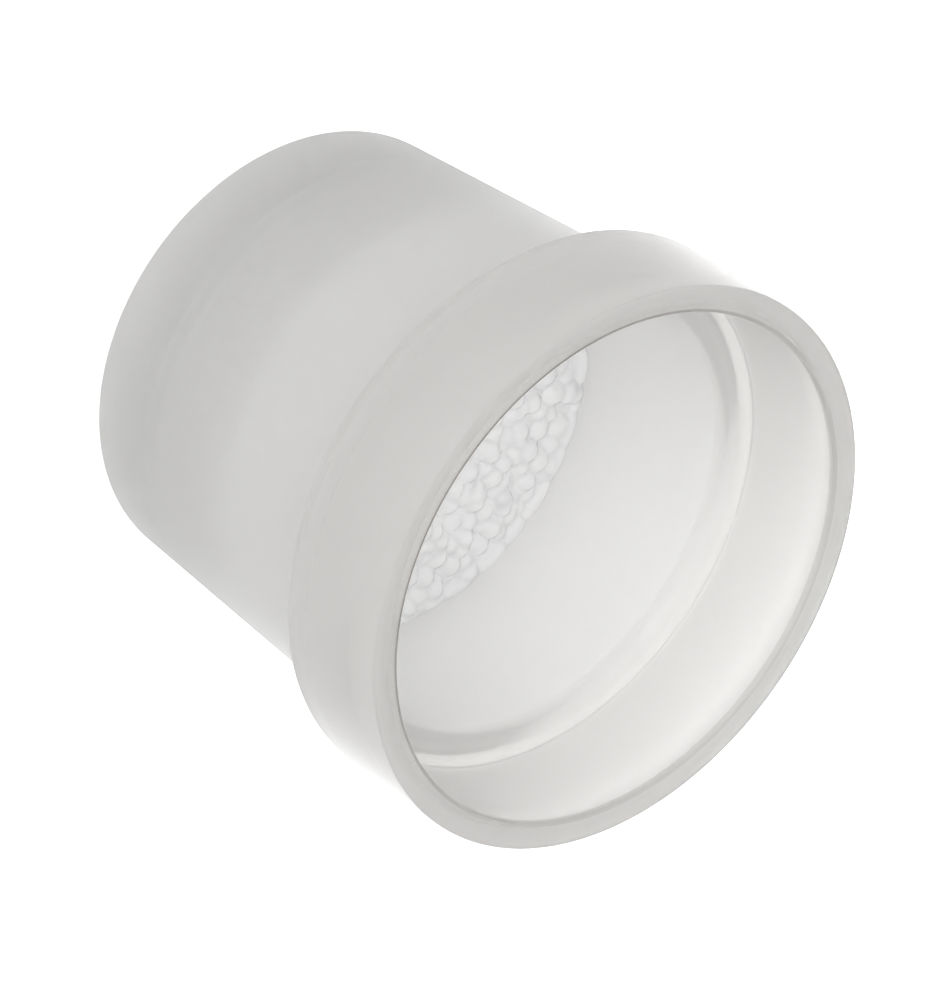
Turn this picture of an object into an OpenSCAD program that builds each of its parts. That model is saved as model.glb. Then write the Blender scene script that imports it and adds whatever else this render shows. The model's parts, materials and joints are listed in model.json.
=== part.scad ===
// Buchner funnel: a translucent moulded cup with a wide collar, and the filter stack that lifts out of it.
// Millimetres, +Z up, origin at the centre of the foot ring's flat face.

/* [Cup] */
// Height of the whole funnel
total_h = 58.4; // [57:0.1:64]
// Outside diameter just under the collar
body_top_d = 57.6; // [57:0.1:58.6]
// Outside diameter just above the rounded base edge
body_base_d = 52.2; // [52:0.1:54]
// Thickness of the cup's wall
wall_t = 2.6; // [2.4:0.1:2.8]
// Radius of the rounded base edge
base_round = 2.3; // [1.8:0.1:3.6]

/* [Collar] */
// Outside diameter of the collar at the open end
collar_d = 66; // [65.6:0.1:68]
// Height of the collar on the outside
collar_h = 15.5; // [15.2:0.1:17]
// How much smaller the collar's outside diameter is at its back
collar_draft = 0.4; // [0.1:0.1:0.6]
// Depth of the inner ledge below the open end
ledge_depth = 13.6; // [12:0.1:13.6]
// Diameter of the opening at the crest of its snap bead
mouth_d = 59.6; // [59:0.1:60]
// Widest inside diameter, in the groove behind the bead
groove_d = 62.4; // [62:0.1:62.8]
// Depth of the widest place below the open end
groove_depth = 3.7; // [3:0.1:5]
// Inside diameter where the collar's wall meets the ledge
socket_d = 59.8; // [59.4:0.1:60.2]
// Radius of the rounded edge between the ledge and the bore
ledge_round = 1.7; // [1:0.1:2]
// Radius of the rounded outer edge of the lip
lip_round = 0.3; // [0.2:0.1:1.2]
// Radius of the collar's rounded back edge
collar_round = 0.9; // [0.4:0.1:1.2]
// Radius of the inside corner between the cup and the collar
shoulder_fillet = 0.8; // [0.4:0.1:1]

/* [Base] */
// Width of the foot ring's flat face
foot_w = 3.6; // [2:0.1:4]
// Depth of the hollow under the base
recess_depth = 3.6; // [3:0.1:3.9]
// Thickness of the base at its middle
floor_t = 2.4; // [2:0.1:2.8]
// Rise of the sloping floor from the drain to the wall
floor_rise = 0.6; // [0.3:0.1:0.8]
// Diameter of the drain hole
drain_d = 8; // [6:0.1:9]
// Outside diameter of the boss around the drain hole
boss_d = 13.2; // [12:0.1:15]
// How far the boss stays above the foot ring's face
boss_gap = 0.6; // [0.4:0.1:1]
// Number of radial ribs, above the floor and below it
rib_count = 6; // [4:1:8]
// Thickness of a rib
rib_t = 1.6; // [1.2:0.1:2]
// Height of the shelf under the support plate
shelf_z = 8.6; // [8.4:0.1:9]
// Width of that shelf
shelf_w = 1.6; // [1.2:0.1:2]

/* [Support plate] */
// Thickness of the plate
plate_t = 2.4; // [2.2:0.1:3]
// Diameter of a drain hole in the plate
hole_d = 1.8; // [1.2:0.1:2]
// Distance between neighbouring rings of holes
hole_pitch = 3.4; // [3.2:0.1:3.4]
// Number of rings of holes around the middle hole
hole_rings = 6; // [3:1:6]
// Thickness of the rubber ring in the plate's rim
seal_cord_d = 1.4; // [1.2:0.1:1.4]

/* [Filter disc] */
// Diameter of the flat filter disc
disc_d = 47; // [45:0.1:47.2]
// Thickness of the filter disc
disc_t = 0.3; // [0.2:0.05:0.5]

/* [Bead bed] */
// Height of the bed of fused beads
bed_h = 12.5; // [10:0.1:18]
// Diameter of one bead
bead_d = 2; // [1.5:0.1:2.5]

/* [Hidden] */
$fn = 96;

// Gap between a loose round piece and the bore it lifts out of
loose_gap = 0.4;
// Gap between the bore and the pieces that fill it
snug_gap = 0.15;
// Gap between the rubber ring and the bore
seal_gap = 0.05;
// Overlap that joins two shapes of one solid
join = 0.3;
// Steps in a rounded edge of an outline
arc_steps = 6;

body_top_r = body_top_d / 2;
body_base_r = body_base_d / 2;
collar_r = collar_d / 2;
collar_back_r = collar_r - collar_draft / 2;
mouth_r = mouth_d / 2;
groove_r = groove_d / 2;
socket_r = socket_d / 2;
collar_z = total_h - collar_h;
ledge_z = total_h - ledge_depth;
bore_slope = (body_top_r - body_base_r) / (collar_z - base_round);
draft = atan(bore_slope);

// Radius of the outside wall and of the bore at a height
function wall_r(z) = body_base_r + bore_slope * (z - base_round);
function bore_r(z) = wall_r(z) - wall_t;

// Points of an arc, from one angle to another
function arc(x, z, r, from, to) =
    [for (i = [0:arc_steps])
        let (a = from + (to - from) * i / arc_steps)
        [x + r * cos(a), z + r * sin(a)]];

bead_crest_drop = 0.7;
bead_back_drop = 1.3;
bead_back_r = mouth_r + 0.8;
lip_inner_round = 0.4;
socket_fillet = 0.5;

floor_z = recess_depth + floor_t;
sump_r = bore_r(shelf_z) - shelf_w;
foot_in_r = body_base_r - base_round - foot_w;
drain_r = drain_d / 2;
boss_r = boss_d / 2;

plate_z = shelf_z;
plate_r = bore_r(plate_z) - loose_gap;
seal_z = plate_z + plate_t / 2;
seal_r = bore_r(seal_z) - seal_gap - seal_cord_d / 2;
groove_floor_r = seal_r - seal_cord_d / 2;
disc_z = plate_z + plate_t;
bed_z = disc_z + disc_t;

// Outline of the cup, from the foot ring up the outside and down the inside
module cup_outline() {
    base_cx = body_base_r - base_round / cos(draft);
    polygon(concat(
        [[foot_in_r, 0]],
        arc(base_cx, base_round, base_round, -90, -draft),
        arc(wall_r(collar_z - shoulder_fillet) + shoulder_fillet, collar_z - shoulder_fillet,
            shoulder_fillet, 180 - draft, 90),
        arc(collar_back_r - collar_round, collar_z + collar_round, collar_round, -90, 0),
        arc(collar_r - lip_round, total_h - lip_round, lip_round, 0, 90),
        arc(mouth_r + lip_inner_round, total_h - lip_inner_round, lip_inner_round, 90, 180),
        [[mouth_r, total_h - bead_crest_drop]],
        [[bead_back_r, total_h - bead_back_drop]],
        [[groove_r, total_h - groove_depth]],
        arc(socket_r - socket_fillet, ledge_z + socket_fillet, socket_fillet, 0, -90),
        arc(bore_r(ledge_z) + ledge_round, ledge_z - ledge_round, ledge_round, 90, 180),
        [[bore_r(shelf_z), shelf_z]],
        [[sump_r, shelf_z]],
        [[sump_r, floor_z + floor_rise]],
        [[drain_r, floor_z]],
        [[drain_r, boss_gap]],
        [[boss_r, boss_gap]],
        [[boss_r, recess_depth]],
        [[foot_in_r, recess_depth]]
    ));
}

// One radial rib across the ring between two radii
module rib(from_r, to_r, from_z, to_z) {
    translate([from_r, -rib_t / 2, from_z])
        cube([to_r - from_r, rib_t, to_z - from_z]);
}

module funnel_body() {
    color("#e6e8e2", 0.7)
        union() {
            rotate_extrude()
                cup_outline();
            for (i = [0:rib_count - 1])
                rotate(i * 360 / rib_count) {
                    rib(boss_r, sump_r + join, floor_z - join, shelf_z);
                    rib(boss_r - join, foot_in_r + join, boss_gap, recess_depth + join);
                }
        }
}

// Perforated plate with a groove around its rim
module support_plate() {
    color("#f2f2ee")
        difference() {
            translate([0, 0, plate_z])
                cylinder(r = plate_r, h = plate_t);
            rotate_extrude()
                translate([groove_floor_r, seal_z - seal_cord_d / 2])
                    square([plate_r, seal_cord_d]);
            translate([0, 0, plate_z - join])
                plate_holes();
        }
}

// Rings of holes, six more in each ring than in the one inside it
module plate_holes() {
    cylinder(d = hole_d, h = plate_t + 2 * join);
    for (ring = [1:hole_rings])
        for (i = [0:6 * ring - 1])
            rotate(i * 60 / ring)
                translate([ring * hole_pitch, 0, 0])
                    cylinder(d = hole_d, h = plate_t + 2 * join);
}

module plate_seal() {
    color("#c9cccb")
        translate([0, 0, seal_z])
            rotate_extrude()
                translate([seal_r, 0])
                    circle(d = seal_cord_d);
}

module filter_disc() {
    color("#f6f5f0")
        translate([0, 0, disc_z])
            cylinder(d = disc_d, h = disc_t);
}

// Envelope of the fused beads: the cup's own taper, with its top edge worn by half a bead
module bead_bed() {
    edge = bead_d / 2;
    top_z = bed_z + bed_h;
    color("#dfe3e6", 0.8)
        rotate_extrude()
            polygon([
                [0, bed_z],
                [bore_r(bed_z) - snug_gap - edge / 2, bed_z],
                [bore_r(bed_z + edge / 2) - snug_gap, bed_z + edge / 2],
                [bore_r(top_z - edge / 2) - snug_gap, top_z - edge / 2],
                [bore_r(top_z) - snug_gap - edge / 2, top_z],
                [0, top_z]
            ]);
}

funnel_body();
support_plate();
plate_seal();
filter_disc();
bead_bed();
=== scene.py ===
"""Looks of a translucent laboratory funnel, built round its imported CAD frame.

The cup is one moulding in milky plastic, so it is a real refracting solid that scatters light inside.
The bed in it is a mass of small fused beads.
Metres, +Z up, origin at the centre of the foot ring's flat face.
"""
import json
import math
import bmesh
import bpy
import numpy as np
from mathutils import Matrix, Vector, noise
from mathutils.kdtree import KDTree


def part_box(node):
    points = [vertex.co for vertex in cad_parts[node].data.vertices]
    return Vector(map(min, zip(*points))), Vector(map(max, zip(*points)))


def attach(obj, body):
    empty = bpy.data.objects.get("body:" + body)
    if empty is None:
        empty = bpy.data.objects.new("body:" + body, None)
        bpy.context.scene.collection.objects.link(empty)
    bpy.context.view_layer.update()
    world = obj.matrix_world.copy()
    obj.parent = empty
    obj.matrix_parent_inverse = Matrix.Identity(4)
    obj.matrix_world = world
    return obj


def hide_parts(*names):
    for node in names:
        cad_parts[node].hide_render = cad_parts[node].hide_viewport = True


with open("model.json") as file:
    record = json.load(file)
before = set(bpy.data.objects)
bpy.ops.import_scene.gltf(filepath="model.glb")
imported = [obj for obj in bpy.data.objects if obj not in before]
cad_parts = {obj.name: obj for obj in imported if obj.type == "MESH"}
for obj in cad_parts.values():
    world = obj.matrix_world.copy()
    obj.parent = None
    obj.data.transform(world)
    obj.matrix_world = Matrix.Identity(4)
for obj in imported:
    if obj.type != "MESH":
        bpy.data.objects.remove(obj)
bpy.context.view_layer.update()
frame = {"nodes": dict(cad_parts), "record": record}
MM = 0.001

# Directions of the stage's light
FRONT = (0, -1, 0)
BACK = (0, 1, 0)
LEFT = (-1, 0, 0)
RIGHT = (1, 0, 0)
ABOVE = (0, 0, 1)


# ---------------------------------------------------------------- sizes, from the frame where it has them
def mount(name):
    """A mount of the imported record."""
    return next(m for m in frame["record"]["mounts"] if m["name"] == name)


TOTAL_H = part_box("funnel_body")[1].z
COLLAR_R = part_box("funnel_body")[1].x
COLLAR_Z = mount("collar_shoulder")["pos_m"][2]
DRAIN_R = mount("drain_bore")["dims"]["r_mm"] * MM
PLATE_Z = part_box("support_plate")[0].z
DISC_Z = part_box("filter_disc")[0].z
DISC_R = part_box("filter_disc")[1].x
DISC_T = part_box("filter_disc")[1].z - DISC_Z
BED_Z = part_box("bead_bed")[0].z
BED_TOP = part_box("bead_bed")[1].z

# The cup's section, as in the CAD
WALL_T = 2.6 * MM
BODY_TOP_R = 28.8 * MM
BODY_BASE_R = 26.1 * MM
BASE_ROUND = 2.3 * MM
COLLAR_BACK_R = COLLAR_R - 0.2 * MM
COLLAR_ROUND = 0.9 * MM
SHOULDER_FILLET = 0.8 * MM
LIP_ROUND = 0.3 * MM
LIP_INNER_ROUND = 0.4 * MM
MOUTH_R = 29.8 * MM
BEAD_CREST_DROP = 0.7 * MM
BEAD_BACK_DROP = 1.3 * MM
BEAD_BACK_R = MOUTH_R + 0.8 * MM
GROOVE_R = 31.2 * MM
GROOVE_DROP = 3.7 * MM
SOCKET_R = 29.9 * MM
SOCKET_FILLET = 0.5 * MM
LEDGE_Z = TOTAL_H - 13.6 * MM
LEDGE_ROUND = 1.7 * MM
SHELF_Z = PLATE_Z
SHELF_W = 1.6 * MM
RECESS = 3.6 * MM
FLOOR_Z = RECESS + 2.4 * MM
FLOOR_RISE = 0.6 * MM
FOOT_IN_R = BODY_BASE_R - BASE_ROUND - 3.6 * MM
BOSS_R = 6.6 * MM
BOSS_GAP = 0.6 * MM
RIB_T = 1.6 * MM
RIBS = 6
RIB_SOFT = 0.3 * MM
FOOT_SOFT = 0.4 * MM
CREST_SKIRT = 0.12 * MM
# Painted shade line along the lip's inner edge: its share at the back of the rim, against 1 at the front
PAINTED_SHADE_LOW = 0.25

# The bed: the gap round it, its beads' radius, pitch, shake and bite into the core, the widths of an edge
# lump and a seam, how far the deepest beads of the top face sink, how much lower that face's core lies
# for them, and the remesh step
SNUG = 0.15 * MM
BEAD_R = 1.35 * MM
BEAD_PITCH = 2.35 * MM
BEAD_SHAKE = 0.36
BEAD_BITE = 0.6 * MM
LUMP_W = 1.7 * MM
SEAM_W = 0.36 * MM
FACE_SINK = 0.75 * MM
CORE_DROP = 0.7 * MM
VOXEL = 0.24 * MM
# Tints this share of the scale apart, and wrapped, never repeat, so neighbouring cells differ
GOLDEN = 0.618034

# The filter disc: unevenness of its faces, how far its edge is torn in, and how fine both are
FELT_SKIN = 0.03 * MM
FELT_TEAR = 0.12 * MM
FELT_WAVES = 900
TEAR_WAVES = 40

# The stage: a light table that glows evenly and towards the back, and a studio with a soft box to each side
FLOOR_SIZE = 6.0
FLOOR_GLOW = 0.36
FLOOR_GLOWS = {BACK: 0.94}
FLOOR_GLOW_REACH = 0.08
STUDIO_LIGHT = 0.03
STUDIO_BOXES = {FRONT: 1.32, BACK: 0.2, LEFT: 0.2, RIGHT: 0.37, ABOVE: 1.08}
BOX_START = 0.2

# The camera: its elevation and roll in degrees, its distance from the rim's centre, how far that centre lies
# to the right of its axis and above it, and its sensor's width and focal length
ELEVATION = 40.93
ROLL = 124.1
DISTANCE = 28.7836 * COLLAR_R
RIM_RIGHT = 0.46732 * COLLAR_R
RIM_UP = -0.22578 * COLLAR_R
SENSOR_MM = 36
LENS_MM = 324

BORE_SLOPE = (BODY_TOP_R - BODY_BASE_R) / (COLLAR_Z - BASE_ROUND)
DRAFT = math.degrees(math.atan(BORE_SLOPE))


def wall_r(z):
    """Radius of the cup's outside at a height."""
    return BODY_BASE_R + BORE_SLOPE * (z - BASE_ROUND)


def bore_r(z):
    """Radius of the cup's bore at a height."""
    return wall_r(z) - WALL_T


SUMP_R = bore_r(SHELF_Z) - SHELF_W


# ---------------------------------------------------------------- mesh helpers
def new_object(name, mesh):
    """A new object in the scene."""
    piece = bpy.data.objects.new(name, mesh)
    bpy.context.scene.collection.objects.link(piece)
    return piece


def arc(x, z, radius, start, stop, steps=10):
    """Points of an arc in an outline, from one angle to another in degrees."""
    turns = np.radians(np.linspace(start, stop, steps + 1))
    return [(x + radius * math.cos(t), z + radius * math.sin(t)) for t in turns]


def stretch(start, stop, steps):
    """Points along a straight stretch of an outline, without its first."""
    a, b = np.array(start), np.array(stop)
    return [tuple(a + (b - a) * i / steps) for i in range(1, steps + 1)]


def lathe(name, outline, segments):
    """A closed outline of (radius, height) points turned about Z."""
    ring = np.array(outline)
    turns = np.arange(segments) * 2 * math.pi / segments
    verts = [(r * math.cos(t), r * math.sin(t), z) for t in turns for r, z in ring]
    n = len(ring)
    faces = []
    for s in range(segments):
        here, after = s * n, (s + 1) % segments * n
        for i in range(n):
            j = (i + 1) % n
            faces.append((here + i, after + i, after + j, here + j))
    mesh = bpy.data.meshes.new(name)
    mesh.from_pydata(verts, [], faces)
    bm = bmesh.new()
    bm.from_mesh(mesh)
    bmesh.ops.recalc_face_normals(bm, faces=bm.faces)
    bm.to_mesh(mesh)
    bm.free()
    return mesh


def shade(mesh, sharp_angle):
    """Smooth shading, with edges sharper than an angle kept crisp."""
    mesh.polygons.foreach_set("use_smooth", [True] * len(mesh.polygons))
    mesh.set_sharp_from_angle(angle=math.radians(sharp_angle))


def apply_modifiers(piece):
    """Replaces a piece's mesh by the result of its modifiers."""
    graph = bpy.context.evaluated_depsgraph_get()
    made = bpy.data.meshes.new_from_object(piece.evaluated_get(graph))
    piece.modifiers.clear()
    piece.data = made


# ---------------------------------------------------------------- materials
def node_material(name):
    """A new node material: (material, its nodes, its links, its shader's inputs)."""
    material = bpy.data.materials.new(name)
    material.use_nodes = True
    tree = material.node_tree
    return material, tree.nodes, tree.links, tree.nodes["Principled BSDF"].inputs


def add_bump(nodes, links, inputs, scale, depth, detail=3):
    """Fine unevenness of a surface, from noise in object space. scale is in waves a metre."""
    place = nodes.new("ShaderNodeTexCoord")
    grain = nodes.new("ShaderNodeTexNoise")
    grain.inputs["Scale"].default_value = scale
    grain.inputs["Detail"].default_value = detail
    bump = nodes.new("ShaderNodeBump")
    bump.inputs["Distance"].default_value = depth
    links.new(place.outputs["Object"], grain.inputs["Vector"])
    links.new(grain.outputs["Fac"], bump.inputs["Height"])
    links.new(bump.outputs["Normal"], inputs["Normal"])
    return grain


def vary_colour(nodes, links, grain, target, low, high, spread=0.2):
    """Colour between two shades, by a noise texture."""
    ramp = nodes.new("ShaderNodeValToRGB")
    ramp.color_ramp.elements[0].position = 0.5 - spread
    ramp.color_ramp.elements[1].position = 0.5 + spread
    ramp.color_ramp.elements[0].color = (*low, 1)
    ramp.color_ramp.elements[1].color = (*high, 1)
    links.new(grain.outputs["Fac"], ramp.inputs["Fac"])
    links.new(ramp.outputs["Color"], target)


def height_band(nodes, links, place, low, high, soft):
    """A mask that is 1 between two heights of the object and fades over a soft length outside them."""
    split = nodes.new("ShaderNodeSeparateXYZ")
    links.new(place, split.inputs[0])
    sides = []
    for edge, way in ((low, 1), (high, -1)):
        side = nodes.new("ShaderNodeMapRange")
        side.interpolation_type = "SMOOTHSTEP"
        side.inputs["From Min"].default_value = edge - way * soft
        side.inputs["From Max"].default_value = edge
        links.new(split.outputs["Z"], side.inputs["Value"])
        sides.append(side)
    both = nodes.new("ShaderNodeMath")
    both.operation = "MULTIPLY"
    links.new(sides[0].outputs[0], both.inputs[0])
    links.new(sides[1].outputs[0], both.inputs[1])
    return both.outputs[0]


def cup_plastic():
    """Milky natural polypropylene: a glossy skin over a solid that scatters the light.

    The thick collar is a little browner and darker than the cup, painted shade, and the rounded inner edge
    of the lip has a painted shade line, darkest at the front.
    """
    material, nodes, links, inputs = node_material("cup_plastic")
    inputs["IOR"].default_value = 1.49
    inputs["Roughness"].default_value = 0.24
    inputs["Transmission Weight"].default_value = 0.85
    add_bump(nodes, links, inputs, 140, 0.01 * MM)
    place = nodes.new("ShaderNodeTexCoord").outputs["Object"]
    # Painted shade: the thick collar above the shoulder is coloured a little browner and darker than the cup
    collar_shade = nodes.new("ShaderNodeMix")
    collar_shade.data_type = "RGBA"
    collar_shade.inputs["A"].default_value = (0.998, 0.993, 0.980, 1)
    collar_shade.inputs["B"].default_value = (0.945, 0.935, 0.917, 1)
    links.new(height_band(nodes, links, place, COLLAR_Z, TOTAL_H, 0.4 * MM), collar_shade.inputs["Factor"])
    # Painted shade: a dark brown line along the lip's rounded inner edge, strongest at the front
    crest = nodes.new("ShaderNodeMix")
    crest.data_type = "RGBA"
    crest.inputs["B"].default_value = (0.42, 0.38, 0.34, 1)
    mark = nodes.new("ShaderNodeAttribute")
    mark.attribute_name = "crest"
    links.new(mark.outputs["Fac"], crest.inputs["Factor"])
    links.new(collar_shade.outputs["Result"], crest.inputs["A"])
    links.new(crest.outputs["Result"], inputs["Base Color"])
    milk = nodes.new("ShaderNodeVolumeScatter")
    milk.inputs["Color"].default_value = (0.992, 0.990, 0.983, 1)
    milk.inputs["Density"].default_value = 550
    milk.inputs["Anisotropy"].default_value = 0
    links.new(milk.outputs[0], nodes["Material Output"].inputs["Volume"])
    return material


def bead_plastic():
    """Fused beads, near white as if lit through, with painted shade that greys some of the seams between
    them.
    """
    material, nodes, links, inputs = node_material("bead_plastic")
    inputs["IOR"].default_value = 1.45
    inputs["Roughness"].default_value = 0.16
    inputs["Subsurface Weight"].default_value = 0.3
    inputs["Subsurface Radius"].default_value = (1, 1, 1)
    inputs["Subsurface Scale"].default_value = 0.8 * MM
    grain = add_bump(nodes, links, inputs, 260, 0.02 * MM)
    seam = nodes.new("ShaderNodeAttribute")
    seam.attribute_name = "seam_shade"
    tint = nodes.new("ShaderNodeAttribute")
    tint.attribute_name = "tint"
    body = nodes.new("ShaderNodeMix")
    body.data_type = "RGBA"
    body.inputs["A"].default_value = (0.955, 0.955, 0.965, 1)
    body.inputs["B"].default_value = (1, 1, 1, 1)
    patchy = nodes.new("ShaderNodeMapRange")
    patchy.inputs["From Min"].default_value = 0.35
    patchy.inputs["From Max"].default_value = 0.65
    patchy.inputs["To Min"].default_value = 0.25
    depth = nodes.new("ShaderNodeMath")
    depth.operation = "MULTIPLY"
    # Painted shade: the seams between beads are greyed, more in some patches than in others
    seam_shade_mix = nodes.new("ShaderNodeMix")
    seam_shade_mix.data_type = "RGBA"
    seam_shade_mix.inputs["B"].default_value = (0.79, 0.79, 0.80, 1)
    links.new(tint.outputs["Fac"], body.inputs["Factor"])
    links.new(grain.outputs["Fac"], patchy.inputs["Value"])
    links.new(patchy.outputs[0], depth.inputs[0])
    links.new(seam.outputs["Fac"], depth.inputs[1])
    links.new(depth.outputs[0], seam_shade_mix.inputs["Factor"])
    links.new(body.outputs["Result"], seam_shade_mix.inputs["A"])
    links.new(seam_shade_mix.outputs["Result"], inputs["Base Color"])
    return material


def plate_plastic():
    """Opaque white plastic with a satin skin."""
    material, nodes, links, inputs = node_material("plate_plastic")
    inputs["Roughness"].default_value = 0.38
    grain = add_bump(nodes, links, inputs, 700, 0.00003)
    vary_colour(nodes, links, grain, inputs["Base Color"], (0.93, 0.93, 0.92), (0.97, 0.97, 0.96))
    return material


def seal_rubber():
    """Matt grey silicone rubber."""
    material, nodes, links, inputs = node_material("seal_rubber")
    inputs["Roughness"].default_value = 0.6
    grain = add_bump(nodes, links, inputs, 1500, 0.00002)
    vary_colour(nodes, links, grain, inputs["Base Color"], (0.60, 0.61, 0.61), (0.72, 0.73, 0.72))
    return material


def disc_felt():
    """White pressed fibre."""
    material, nodes, links, inputs = node_material("disc_felt")
    inputs["Roughness"].default_value = 0.95
    grain = add_bump(nodes, links, inputs, 2600, 0.00006, detail=8)
    vary_colour(nodes, links, grain, inputs["Base Color"], (0.95, 0.95, 0.94), (0.99, 0.99, 0.985))
    return material


# ---------------------------------------------------------------- the cup
def cup_outline():
    """The cup's section, from the foot ring up the outside and down the inside."""
    base_x = BODY_BASE_R - BASE_ROUND / math.cos(math.radians(DRAFT))
    shoulder_z = COLLAR_Z - SHOULDER_FILLET
    shoulder_x = wall_r(shoulder_z) + SHOULDER_FILLET
    crest_z = TOTAL_H - LIP_INNER_ROUND
    points = arc(FOOT_IN_R + FOOT_SOFT, FOOT_SOFT, FOOT_SOFT, 180, 270, 4)
    points += arc(base_x, BASE_ROUND, BASE_ROUND, -90, -DRAFT, 16)
    points += stretch(points[-1], (wall_r(shoulder_z), shoulder_z), 12)[:-1]
    points += arc(shoulder_x, shoulder_z, SHOULDER_FILLET, 180 - DRAFT, 90, 6)
    points += arc(COLLAR_BACK_R - COLLAR_ROUND, COLLAR_Z + COLLAR_ROUND, COLLAR_ROUND, -90, 0)
    points += stretch(points[-1], (COLLAR_R, TOTAL_H - LIP_ROUND), 6)[:-1]
    points += arc(COLLAR_R - LIP_ROUND, TOTAL_H - LIP_ROUND, LIP_ROUND, 0, 90, 6)
    points += [(MOUTH_R + LIP_INNER_ROUND + CREST_SKIRT, TOTAL_H)]
    points += arc(MOUTH_R + LIP_INNER_ROUND, crest_z, LIP_INNER_ROUND, 90, 180, 6)
    points += stretch(points[-1], (MOUTH_R, TOTAL_H - BEAD_CREST_DROP), 2)
    points += stretch(points[-1], (BEAD_BACK_R, TOTAL_H - BEAD_BACK_DROP), 3)
    points += stretch(points[-1], (GROOVE_R, TOTAL_H - GROOVE_DROP), 3)
    points += stretch(points[-1], (SOCKET_R, LEDGE_Z + SOCKET_FILLET), 5)[:-1]
    points += arc(SOCKET_R - SOCKET_FILLET, LEDGE_Z + SOCKET_FILLET, SOCKET_FILLET, 0, -90, 6)
    points += arc(bore_r(LEDGE_Z) + LEDGE_ROUND, LEDGE_Z - LEDGE_ROUND, LEDGE_ROUND, 90, 180)
    points += stretch(points[-1], (bore_r(SHELF_Z), SHELF_Z), 12)
    points += [(SUMP_R, SHELF_Z), (SUMP_R, FLOOR_Z + FLOOR_RISE), (DRAIN_R, FLOOR_Z), (DRAIN_R, BOSS_GAP)]
    points += [(BOSS_R, BOSS_GAP), (BOSS_R, RECESS), (FOOT_IN_R, RECESS)]
    return points


def add_rib(bm, turn, start, stop, low, high):
    """A radial rib with rounded long edges, from one radius to another."""
    half = RIB_T / 2
    section = [(-half, low), (half, low)]
    section += arc(half - RIB_SOFT, high - RIB_SOFT, RIB_SOFT, 0, 90, 4)
    section += arc(-half + RIB_SOFT, high - RIB_SOFT, RIB_SOFT, 90, 180, 4)
    spin = Matrix.Rotation(turn, 4, "Z")
    ends = [[bm.verts.new(spin @ Vector((x, y, z))) for y, z in section] for x in (start, stop)]
    count = len(section)
    for i in range(count):
        j = (i + 1) % count
        bm.faces.new((ends[0][i], ends[0][j], ends[1][j], ends[1][i]))
    bm.faces.new(ends[0][::-1])
    bm.faces.new(ends[1])


def make_ribs():
    """Ribs above the floor, under the plate, and below it, in the hollow of the base."""
    bite = 0.3 * MM
    skin = 0.02 * MM
    bm = bmesh.new()
    for i in range(RIBS):
        turn = i * 2 * math.pi / RIBS
        add_rib(bm, turn, BOSS_R, SUMP_R + bite, FLOOR_Z - bite, SHELF_Z - skin)
        add_rib(bm, turn, BOSS_R - bite, FOOT_IN_R + bite, BOSS_GAP, RECESS + bite)
    bmesh.ops.recalc_face_normals(bm, faces=bm.faces)
    mesh = bpy.data.meshes.new("ribs")
    bm.to_mesh(mesh)
    bm.free()
    return new_object("ribs", mesh)


def mark_crest(mesh):
    """Writes how dark the painted shade line on the lip's inner edge is, from 1 at the front to its low
    share at the back.
    """
    layer = mesh.attributes.new("crest", "FLOAT", "POINT")
    low = TOTAL_H - BEAD_CREST_DROP
    out = MOUTH_R + LIP_INNER_ROUND
    slack = 0.05 * MM
    for i, vertex in enumerate(mesh.vertices):
        on_edge = vertex.co.z > low - slack and vertex.co.xy.length < out + slack
        front = 0.5 - 0.5 * vertex.co.y / MOUTH_R
        shade_share = PAINTED_SHADE_LOW + (1 - PAINTED_SHADE_LOW) * front**2
        layer.data[i].value = shade_share if on_edge else 0.0


def make_cup():
    """The moulding: its section turned about Z, with the ribs joined to it."""
    cup = new_object("moulded_cup", lathe("moulded_cup", cup_outline(), 256))
    ribs = make_ribs()
    union = cup.modifiers.new("ribs", "BOOLEAN")
    union.operation = "UNION"
    union.solver = "EXACT"
    union.object = ribs
    apply_modifiers(cup)
    bpy.data.objects.remove(ribs)
    shade(cup.data, 32)
    mark_crest(cup.data)
    cup.data.materials.clear()
    cup.data.materials.append(cup_plastic())
    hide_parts("funnel_body")
    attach(cup, "cup")
    return cup


# ---------------------------------------------------------------- the bead bed
def shaken_grid(width, height, pitch, rng):
    """Points of a shaken hexagonal grid over a rectangle centred on the origin."""
    row_step = pitch * math.sqrt(3) / 2
    rows, columns = int(height / row_step / 2) + 1, int(width / pitch / 2) + 1
    points = [((column + 0.5 * (row % 2)) * pitch, row * row_step)
              for row in range(-rows, rows + 1) for column in range(-columns, columns + 1)]
    return np.array(points) + rng.uniform(-BEAD_SHAKE, BEAD_SHAKE, (len(points), 2)) * pitch


def face_beads(z, sunk, rng):
    """Beads of a flat face of the bed, as (x, y, z, radius). sunk is how far the deepest sit inside it."""
    beads = []
    reach = bore_r(z) - SNUG
    for x, y in shaken_grid(2 * reach, 2 * reach, BEAD_PITCH, rng):
        radius = BEAD_R * rng.uniform(0.84, 1.16)
        depth = radius + abs(sunk) * rng.uniform(0, 1)
        if math.hypot(x, y) < reach - LUMP_W - 0.3 * radius:
            beads.append((x, y, z - math.copysign(depth, sunk), radius))
    return beads


def side_beads(rng):
    """Beads against the wall, between the two faces' edges."""
    beads = []
    middle, height = (BED_TOP + BED_Z) / 2, BED_TOP - BED_Z - 2 * BEAD_R
    girth = 2 * math.pi * bore_r(middle)
    for along, rise in shaken_grid(girth, height, BEAD_PITCH, rng):
        radius = BEAD_R * rng.uniform(0.84, 1.1)
        reach = bore_r(middle + rise) - SNUG - radius - rng.uniform(0, 0.1) * BEAD_R
        turn = 2 * math.pi * along / girth
        if abs(rise) < height / 2 and abs(turn) < math.pi - 0.4 * BEAD_PITCH / reach:
            beads.append((reach * math.cos(turn), reach * math.sin(turn), middle + rise, radius))
    return beads


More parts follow.
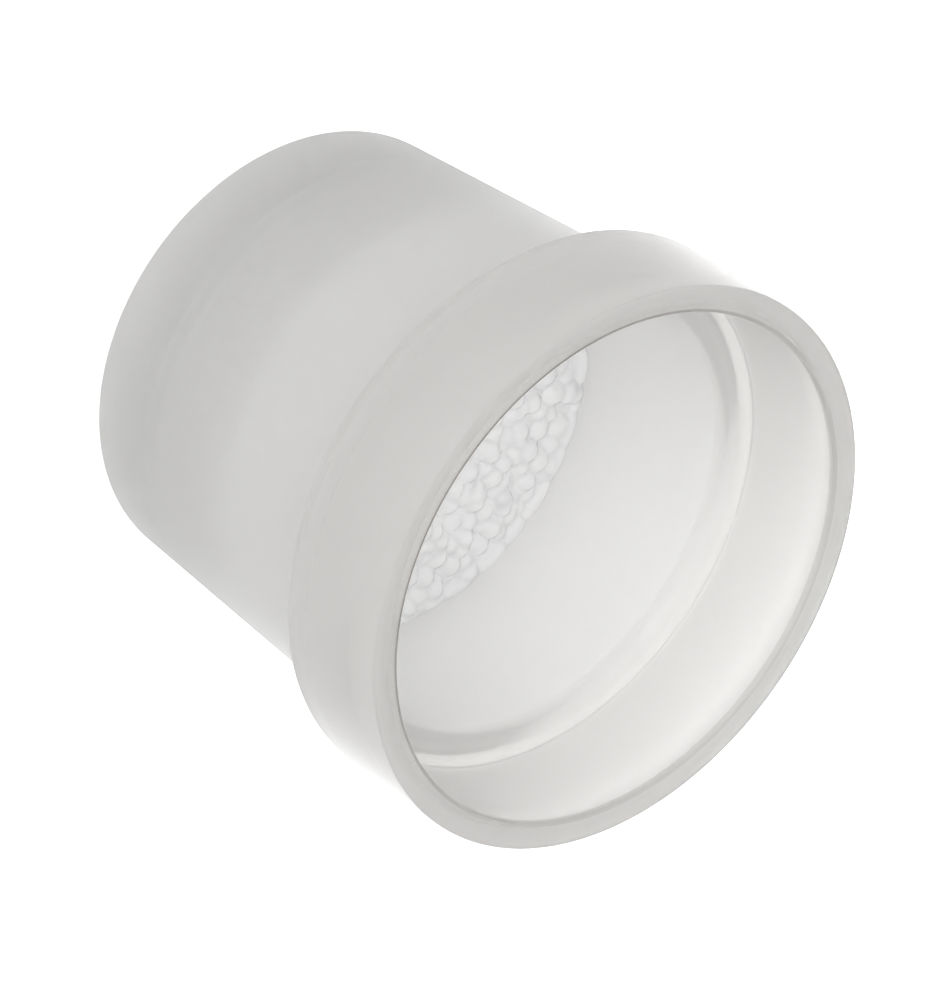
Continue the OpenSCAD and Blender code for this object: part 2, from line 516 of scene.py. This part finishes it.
def edge_lumps(z, rng):
    """Long lumps that lie along the wall at an edge of the bed, each as a row of spheres."""
    lumps, turn = [], 0
    while turn < 2 * math.pi - 0.1:
        span = rng.uniform(0.12, 0.24)
        radius = LUMP_W / 2 * rng.uniform(0.85, 1)
        reach = bore_r(z) - SNUG - radius - rng.uniform(0, 0.15) * MM
        drop = radius + rng.uniform(0, 0.5) * MM
        level = z - drop if z == BED_TOP else z + drop
        row = []
        for share in np.linspace(0.12, 0.88, 7):
            angle = turn + share * span
            size = radius * (0.72 + 0.28 * math.sin(math.pi * share))
            row.append((reach * math.cos(angle), reach * math.sin(angle), level, size))
        lumps.append(row)
        turn += span
    return lumps


def bead_cells(rng):
    """Every cell of the bed as its spheres. Half the inner beads are two that have run together."""
    cells = []
    beads = face_beads(BED_TOP, FACE_SINK, rng) + face_beads(BED_Z, -0.2 * MM, rng) + side_beads(rng)
    for x, y, z, radius in beads:
        cell = [(x, y, z, radius)]
        if rng.uniform() < 0.5 and math.hypot(x, y) < bore_r(z) - LUMP_W - 2 * BEAD_R:
            turn = rng.uniform(0, 2 * math.pi)
            apart = 0.7 * radius
            cell.append((x + apart * math.cos(turn), y + apart * math.sin(turn), z, 0.88 * radius))
        cells.append(cell)
    return cells + edge_lumps(BED_TOP, rng) + edge_lumps(BED_Z, rng)


def ball(subdivisions):
    """Vertices and faces of a unit sphere of triangles."""
    bm = bmesh.new()
    bmesh.ops.create_icosphere(bm, subdivisions=subdivisions, radius=1)
    verts = np.array([v.co for v in bm.verts])
    faces = np.array([[v.index for v in f.verts] for f in bm.faces])
    bm.free()
    return verts, faces


def core_mesh(first, segments=96):
    """The solid middle of the bed, which the beads are fused to: vertices, and faces counted from first."""
    turns = np.arange(segments) * 2 * math.pi / segments
    verts = []
    for z in (BED_Z + BEAD_BITE, BED_TOP - BEAD_BITE - CORE_DROP):
        reach = bore_r(z) - SNUG - BEAD_BITE
        verts += [(reach * math.cos(t), reach * math.sin(t), z) for t in turns]
    low = [first + i for i in range(segments)]
    high = [first + segments + i for i in range(segments)]
    faces = [(low[i - 1], low[i], high[i], high[i - 1]) for i in range(segments)]
    return verts, faces + [tuple(low[::-1]), tuple(high)]


def mark_creases(mesh, cells):
    """Writes how near each vertex is to a seam, 0 to 1, which sets the beads' painted seam shade, and a tint
    for its cell, 0 to 1.
    """
    tree = KDTree(sum(len(cell) for cell in cells))
    owner, size = [], []
    for index, cell in enumerate(cells):
        for x, y, z, radius in cell:
            tree.insert((x, y, z), len(owner))
            owner.append(index)
            size.append(radius)
    tree.balance()
    layer = mesh.attributes.new("seam_shade", "FLOAT", "POINT")
    tint = mesh.attributes.new("tint", "FLOAT", "POINT")
    for i, vertex in enumerate(mesh.vertices):
        nearest = sorted((distance - size[k], owner[k]) for _, k, distance in tree.find_n(vertex.co, 9))
        gap = next((d - nearest[0][0] for d, o in nearest if o != nearest[0][1]), SEAM_W)
        layer.data[i].value = max(0, 1 - gap / SEAM_W)
        tint.data[i].value = math.modf(nearest[0][1] * GOLDEN)[0]


def make_bed():
    """Beads fused into one plug: spheres round a solid core, melted together."""
    cells = bead_cells(np.random.default_rng(7))
    beads = np.array([sphere for cell in cells for sphere in cell])
    unit, unit_faces = ball(3)
    verts = (beads[:, None, :3] + unit[None] * beads[:, None, 3:]).reshape(-1, 3)
    faces = (unit_faces[None] + np.arange(len(beads))[:, None, None] * len(unit)).reshape(-1, 3)
    core_verts, core_faces = core_mesh(len(verts))
    mesh = bpy.data.meshes.new("fused_beads")
    mesh.from_pydata(verts.tolist() + core_verts, [], faces.tolist() + core_faces)
    bed = new_object("fused_beads", mesh)
    melt = bed.modifiers.new("melt", "REMESH")
    melt.mode = "VOXEL"
    melt.voxel_size = VOXEL
    soften = bed.modifiers.new("soften", "SMOOTH")
    soften.factor = 0.5
    soften.iterations = 2
    thin = bed.modifiers.new("thin", "DECIMATE")
    thin.ratio = 0.55
    apply_modifiers(bed)
    mark_creases(bed.data, cells)
    shade(bed.data, 180)
    bed.data.materials.clear()
    bed.data.materials.append(bead_plastic())
    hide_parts("bead_bed")
    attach(bed, "bed")
    return bed


# ---------------------------------------------------------------- the flat filter disc
def fibre_face(bm, side, rings, segments):
    """One face of the disc, side 0 below and 1 above. Returns its outermost ring of vertices."""
    turns = [s * 2 * math.pi / segments for s in range(segments)]
    rows = []
    for ring in range(1, rings + 1):
        row = []
        for turn in turns:
            reach = DISC_R * ring / rings
            if ring == rings:
                ragged = noise.noise(Vector((math.cos(turn) * TEAR_WAVES, math.sin(turn) * TEAR_WAVES, 3.1)))
                reach -= FELT_TEAR * abs(ragged)
            x, y = reach * math.cos(turn), reach * math.sin(turn)
            rough = abs(noise.noise(Vector((x, y, side * 0.01)) * FELT_WAVES)) * FELT_SKIN
            row.append(bm.verts.new((x, y, DISC_Z + (DISC_T - rough if side else rough))))
        rows.append(row)
    middle = bm.verts.new((0, 0, DISC_Z + (DISC_T - FELT_SKIN / 2 if side else FELT_SKIN / 2)))
    for s in range(segments):
        after = (s + 1) % segments
        bm.faces.new((middle, rows[0][s], rows[0][after]))
        for inner, outer in zip(rows, rows[1:]):
            bm.faces.new((inner[s], outer[s], outer[after], inner[after]))
    return rows[-1]


def make_filter_disc(rings=60, segments=360):
    """A disc of pressed fibre: slightly uneven faces and a torn-looking edge."""
    bm = bmesh.new()
    low = fibre_face(bm, 0, rings, segments)
    high = fibre_face(bm, 1, rings, segments)
    for s in range(segments):
        after = (s + 1) % segments
        bm.faces.new((low[s], low[after], high[after], high[s]))
    bmesh.ops.recalc_face_normals(bm, faces=bm.faces)
    mesh = bpy.data.meshes.new("fibre_disc")
    bm.to_mesh(mesh)
    bm.free()
    shade(mesh, 60)
    disc = new_object("fibre_disc", mesh)
    mesh.materials.append(disc_felt())
    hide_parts("filter_disc")
    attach(disc, "disc")
    return disc


# ---------------------------------------------------------------- stage
def add_lights(nodes, links, place, ambient, lights, start, stop):
    """An even light and one to each of some sides. lights is {direction: level}.

    A side's light grows as the place's length along the direction goes from start to stop.
    """
    total = None
    for direction, level in lights.items():
        along = nodes.new("ShaderNodeVectorMath")
        along.operation = "DOT_PRODUCT"
        along.inputs[1].default_value = direction
        spread = nodes.new("ShaderNodeMapRange")
        spread.interpolation_type = "SMOOTHSTEP"
        spread.inputs["From Min"].default_value = start
        spread.inputs["From Max"].default_value = stop
        spread.inputs["To Max"].default_value = level
        links.new(place, along.inputs[0])
        links.new(along.outputs["Value"], spread.inputs["Value"])
        add = nodes.new("ShaderNodeMath")
        add.inputs[1].default_value = ambient
        links.new(spread.outputs[0], add.inputs[0])
        if total:
            links.new(total.outputs[0], add.inputs[1])
        total = add
    return total.outputs[0]


def floor_white(ambient, glows):
    """White paper lit from below, which the camera sees at its full white everywhere."""
    material, nodes, links, inputs = node_material("floor_white")
    inputs["Base Color"].default_value = (0.6, 0.6, 0.6, 1)
    inputs["Roughness"].default_value = 0.9
    inputs["Emission Color"].default_value = (1, 1, 1, 1)
    place = nodes.new("ShaderNodeTexCoord").outputs["Object"]
    glow = add_lights(nodes, links, place, ambient, glows, 0, FLOOR_GLOW_REACH)
    path = nodes.new("ShaderNodeLightPath")
    seen = nodes.new("ShaderNodeMath")
    seen.operation = "MAXIMUM"
    links.new(glow, seen.inputs[0])
    links.new(path.outputs["Is Camera Ray"], seen.inputs[1])
    links.new(seen.outputs[0], inputs["Emission Strength"])
    return material


def make_floor(size, z, ambient, glows):
    """A plain white light table: an even glow, and a stronger one to some sides."""
    half = size / 2
    corners = [(-half, -half, z), (half, -half, z), (half, half, z), (-half, half, z)]
    mesh = bpy.data.meshes.new("floor")
    mesh.from_pydata(corners, [], [(0, 1, 2, 3)])
    floor = new_object("floor", mesh)
    mesh.materials.append(floor_white(ambient, glows))
    return floor


def make_world(ambient, boxes):
    """A white studio: an even light and a soft box to each of some sides. The camera sees it plain white."""
    world = bpy.data.worlds.new("studio")
    world.use_nodes = True
    nodes, links = world.node_tree.nodes, world.node_tree.links
    place = nodes.new("ShaderNodeTexCoord").outputs["Generated"]
    soft = nodes["Background"]
    soft.inputs["Color"].default_value = (1, 1, 1, 1)
    links.new(add_lights(nodes, links, place, ambient, boxes, BOX_START, 1), soft.inputs["Strength"])
    paper = nodes.new("ShaderNodeBackground")
    paper.inputs["Color"].default_value = (1, 1, 1, 1)
    path = nodes.new("ShaderNodeLightPath")
    choose = nodes.new("ShaderNodeMixShader")
    links.new(path.outputs["Is Camera Ray"], choose.inputs["Fac"])
    links.new(soft.outputs[0], choose.inputs[1])
    links.new(paper.outputs[0], choose.inputs[2])
    links.new(choose.outputs[0], nodes["World Output"].inputs["Surface"])
    bpy.context.scene.world = world


def make_camera(rim_centre, elevation, roll, distance, right, up):
    """A long lens that looks at the rim from the front. right and up place the rim's centre in its view."""
    data = bpy.data.cameras.new("camera")
    data.sensor_width = SENSOR_MM
    data.lens = LENS_MM
    data.clip_start, data.clip_end = 0.05, 20
    camera = new_object("camera", data)
    tilt = Matrix.Rotation(math.radians(90 - elevation), 3, "X")
    turn = tilt @ Matrix.Rotation(math.radians(roll), 3, "Z")
    place = Vector(rim_centre) - turn @ Vector((right, up, -distance))
    camera.matrix_world = Matrix.Translation(place) @ turn.to_4x4()
    bpy.context.scene.camera = camera
    return camera


def set_light_paths():
    """Enough bounces for light to cross the milky wall several times."""
    cycles = bpy.context.scene.cycles
    cycles.max_bounces = 32
    cycles.transmission_bounces = 24
    cycles.transparent_max_bounces = 16
    cycles.volume_bounces = 24
    cycles.diffuse_bounces = 12
    cycles.glossy_bounces = 12
    bpy.context.scene.view_settings.view_transform = "Standard"


def paint(node, material):
    """Gives a CAD node a material, in the first slot of its mesh."""
    frame["nodes"][node].data.materials[0] = material


paint("support_plate", plate_plastic())
paint("plate_seal", seal_rubber())
make_cup()
make_bed()
make_filter_disc()
make_floor(FLOOR_SIZE, 0.0, FLOOR_GLOW, FLOOR_GLOWS)
make_world(STUDIO_LIGHT, STUDIO_BOXES)
set_light_paths()
make_camera((0, 0, TOTAL_H), ELEVATION, ROLL, DISTANCE, RIM_RIGHT, RIM_UP)
